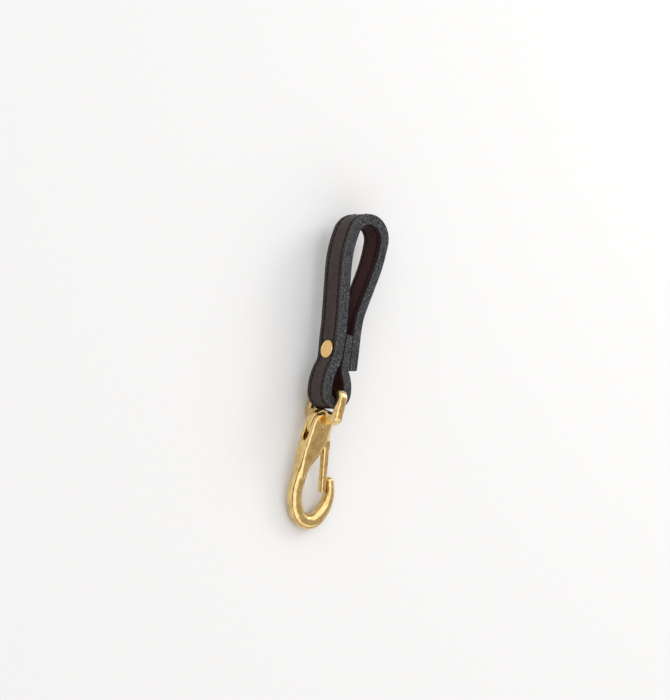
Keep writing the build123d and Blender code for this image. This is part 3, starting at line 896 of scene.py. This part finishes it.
def lever_field(p, q, n):
    """Eye, crossbar, web and gate bar of the lever."""
    # eye: a rounded rectangle of nearly square bar, heavier at the sides and the crossbar
    depth = EYE_DROP + CROSSBAR_DOWN
    corner = EYE_CORNER
    from_q = np.abs(q + depth / 2) - (depth / 2 - corner)
    from_n = np.abs(n) - (EYE_HALF + BAR_R - corner)
    ring = np.hypot(np.maximum(from_q, 0), np.maximum(from_n, 0)) + np.minimum(np.maximum(from_q, from_n), 0)
    ring = np.abs(ring - corner)
    lower = np.clip((-q - 8.0) / 4.0, 0, 1)
    wide = BAR_R + 0.35 * lower
    beside = np.clip((np.abs(n) - 8.5) / 2.0, 0, 1)
    off_p = np.abs(p - 0.35 * beside)
    deep = BAR_R + 0.1 * lower + 0.35 * beside
    eye = ((ring / wide) ** BAR_SQUARE + (off_p / deep) ** BAR_SQUARE) ** (1 / BAR_SQUARE)
    eye = (eye - 1) * BAR_R
    # the crossbar fans down towards the pivot, and its near half is notched for the cheek
    flat_n, across_q = np.abs(n[:1, :, :]) + 0 * q[:1, :, :], q[:1, :, :] + 0 * n[:1, :, :]
    fan = outline_distance(FAN_OUTLINE, flat_n, across_q)
    fan = np.maximum(fan, np.abs(p - 0.2) - 1.95)
    lever = smooth_least(eye, fan, 0.8)
    below = -q - EYE_DROP - 0.3
    notch = np.maximum(np.maximum(n - POCKET_T / 2 - 0.4 * below, -below), -n)
    lever = smooth_most(lever, -notch, 0.3)
    # a low hump bridges the cheeks
    bridge = np.maximum(np.abs(q - BRIDGE_Q) - BRIDGE_T / 2, np.abs(p) - BAR_R)
    bridge = np.maximum(bridge, np.abs(n) - BRIDGE_HALF)
    lever = smooth_least(lever, bridge, 1.2)
    flat_p, flat_q = p[:, :, 0], q[:, :, 0]
    web = outline_distance(web_outline, flat_p, flat_q)[:, :, None]
    web = rounded_slab(web, n, WEB_T / 2, WEB_ROUND)
    lever = smooth_least(lever, web, 2.2)
    from_pivot = np.hypot(p - PIVOT[0], q - PIVOT[1]) - POCKET_R
    pocket = np.maximum(from_pivot, np.maximum(np.abs(n) - POCKET_T / 2, WEB_T / 2 - np.abs(n)))
    lever = smooth_most(lever, -pocket, 0.2)
    # gate bar
    run = (GATE_END[0] - GATE_TOP[0], GATE_END[1] - GATE_TOP[1])
    length = math.hypot(*run)
    way = (run[0] / length, run[1] / length)
    along = (p - GATE_TOP[0]) * way[0] + (q - GATE_TOP[1]) * way[1]
    aside = (p - GATE_TOP[0]) * -way[1] + (q - GATE_TOP[1]) * way[0]
    ends = np.abs(along - length / 2) - length / 2 + 0.6
    thin = GATE_HALF - GATE_TAPER * np.clip(along / length, 0, 1)
    section = ((np.abs(aside) / thin) ** 4.0 + (np.abs(n) / 1.97) ** 4.0) ** (1 / 4.0)
    bar = smooth_most((section - 1) * 1.9, ends - 0.6, 0.9)
    lever = smooth_least(lever, bar, 0.9)
    return lever + cast_ripple(p, q, n, 2.1, 0.03)


lever_low, lever_high = (-9.0, -54.5, -15.0), (16.0, 3.2, 15.0)
p, q, n = grid(lever_low, lever_high, STEP)
lever = cast_piece("lever_casting", lever_field(p, q, n), lever_low, STEP, BRASS)
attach(lever, "lever")
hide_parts("lever")

# pivot pin, peened over at both ends
PIN = [(0.001, -4.68), (0.8, -4.66), (1.35, -4.58), (1.55, -4.40), (1.5, -4.2), (1.5, 4.2), (1.55, 4.40),
       (1.35, 4.58), (0.8, 4.66), (0.001, 4.68)]
pin = lathe("pivot_pin_peened", PIN, on_hook(*PIVOT, 0), HOOK_NORMAL, BRASS, 48)
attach(pin, "hook")
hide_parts("pivot_pin")

# gate spring
SPRING_TURNS = 7
SPRING_WIRE = 0.225             # radius of the wire
SPRING_R = 1.25                 # radius of the coil, to the middle of the wire
spring_low, spring_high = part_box("gate_spring")
spring_seat = Vector((spring_low.x, (spring_low.y + spring_high.y) / 2, (spring_low.z + spring_high.z) / 2))
spring_run = (spring_high.x - spring_low.x) / MM - 2 * SPRING_WIRE
verts, sides, turns_steps = [], 8, SPRING_TURNS * 24
for k in range(turns_steps + 1):
    share = k / turns_steps
    a = 2 * math.pi * SPRING_TURNS * share
    out = HOOK_NORMAL * math.cos(a) + HOOK_UP * math.sin(a)
    middle = spring_seat + (ACROSS * (SPRING_WIRE + share * spring_run) + out * SPRING_R) * MM
    for m in range(sides):
        b = 2 * math.pi * m / sides
        verts.append(middle + (out * math.cos(b) + ACROSS * math.sin(b)) * SPRING_WIRE * MM)
faces = ring_faces(turns_steps + 1, sides)
faces.append(tuple(range(sides)))
faces.append(tuple(reversed(range(turns_steps * sides, (turns_steps + 1) * sides))))
spring = new_object("gate_spring_coil", verts, faces, [STEEL])
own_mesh(spring)
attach(spring, "hook")
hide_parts("gate_spring")

# ------------------------------------------------------------------ surface, light and camera
FLOOR = 1.6
floor = new_object(
    "surface",
    [(-FLOOR, -FLOOR, 0), (FLOOR, -FLOOR, 0), (FLOOR, FLOOR, 0), (-FLOOR, FLOOR, 0)],
    [(0, 1, 2, 3)],
    [floor_material()],
)

# camera: turned from the strap's upright width towards the rivet's side, strap leaning a little right
VIEW_OFF_WIDTH = math.radians(37.0)
LEAN = math.radians(11.8)
DISTANCE = 2.2
WIDTH_IN_VIEW = 670 / 1.923     # mm across the picture at the aim
along_view = math.cos(LEAN) * ACROSS + math.sin(LEAN) * STRAP_UP
right = math.cos(VIEW_OFF_WIDTH) * along_view + math.sin(VIEW_OFF_WIDTH) * STRAP_NORMAL
up = -math.sin(LEAN) * ACROSS + math.cos(LEAN) * STRAP_UP
back = right.cross(up)
aim = on_strap(0, 0, HALF) + (-1.1 * right + 21.84 * up) * MM
camera_data = bpy.data.cameras.new("camera")
camera_data.sensor_fit = "HORIZONTAL"
camera_data.sensor_width = 36.0
camera_data.lens = camera_data.sensor_width * DISTANCE / MM / WIDTH_IN_VIEW
camera = bpy.data.objects.new("camera", camera_data)
camera.matrix_world = Matrix((
    (right.x, up.x, back.x, aim.x + back.x * DISTANCE),
    (right.y, up.y, back.y, aim.y + back.y * DISTANCE),
    (right.z, up.z, back.z, aim.z + back.z * DISTANCE),
    (0, 0, 0, 1),
))
bpy.context.scene.collection.objects.link(camera)
bpy.context.scene.camera = camera


def area_light(name, place, target, size, power, colour):
    """Rectangular light that faces a target."""
    data = bpy.data.lights.new(name, "AREA")
    data.shape = "RECTANGLE"
    data.size, data.size_y = size
    data.energy = power
    data.color = colour
    light = bpy.data.objects.new(name, data)
    light.location = place
    light.rotation_euler = (Vector(target) - Vector(place)).to_track_quat("-Z", "Y").to_euler()
    bpy.context.scene.collection.objects.link(light)
    return light


area_light("window", (0.60, 0.60, 0.54), (0, 0, 0), (0.38, 0.34), 2.0, (1.0, 0.99, 0.97))

world = bpy.data.worlds.new("studio")
world.use_nodes = True
bpy.context.scene.world = world
world_nodes, world_links = world.node_tree.nodes, world.node_tree.links
background = world_nodes["Background"]
sky_place = world_nodes.new("ShaderNodeTexCoord")
split = world_nodes.new("ShaderNodeSeparateXYZ")
world_links.new(sky_place.outputs["Generated"], split.inputs["Vector"])
sky = ramp(world_nodes, world_links, split.outputs["Z"],
           [(0.0, (0.07, 0.065, 0.06)), (0.10, (0.15, 0.14, 0.13)), (0.30, (0.66, 0.65, 0.64)),
            (0.5, (0.90, 0.90, 0.90)), (1.0, (1.0, 1.0, 1.0))])
# two dimmer parts of the room, which the brass mirrors: direction, colour, and the cosines from that
# direction where each starts and is full
for direction, dim, start, full in (
    ((0.59, -0.17, 0.78), (0.37, 0.335, 0.29), 0.84, 0.95),
    ((-0.90, -0.30, 0.32), (0.45, 0.42, 0.38), 0.90, 0.98),
):
    facing = world_nodes.new("ShaderNodeVectorMath")
    facing.operation = "DOT_PRODUCT"
    facing.inputs[1].default_value = Vector(direction).normalized()
    world_links.new(sky_place.outputs["Generated"], facing.inputs[0])
    shade = ramp(world_nodes, world_links, facing.outputs["Value"], [(start, (1, 1, 1)), (full, dim)])
    dimmed = add_node(world_nodes, "ShaderNodeMix", data_type="RGBA", blend_type="MULTIPLY")
    dimmed.inputs["Factor"].default_value = 1.0
    world_links.new(sky, dimmed.inputs["A"])
    world_links.new(shade, dimmed.inputs["B"])
    sky = dimmed.outputs["Result"]
world_links.new(sky, background.inputs["Color"])
background.inputs["Strength"].default_value = 1.5

bpy.context.scene.view_settings.view_transform = "Standard"
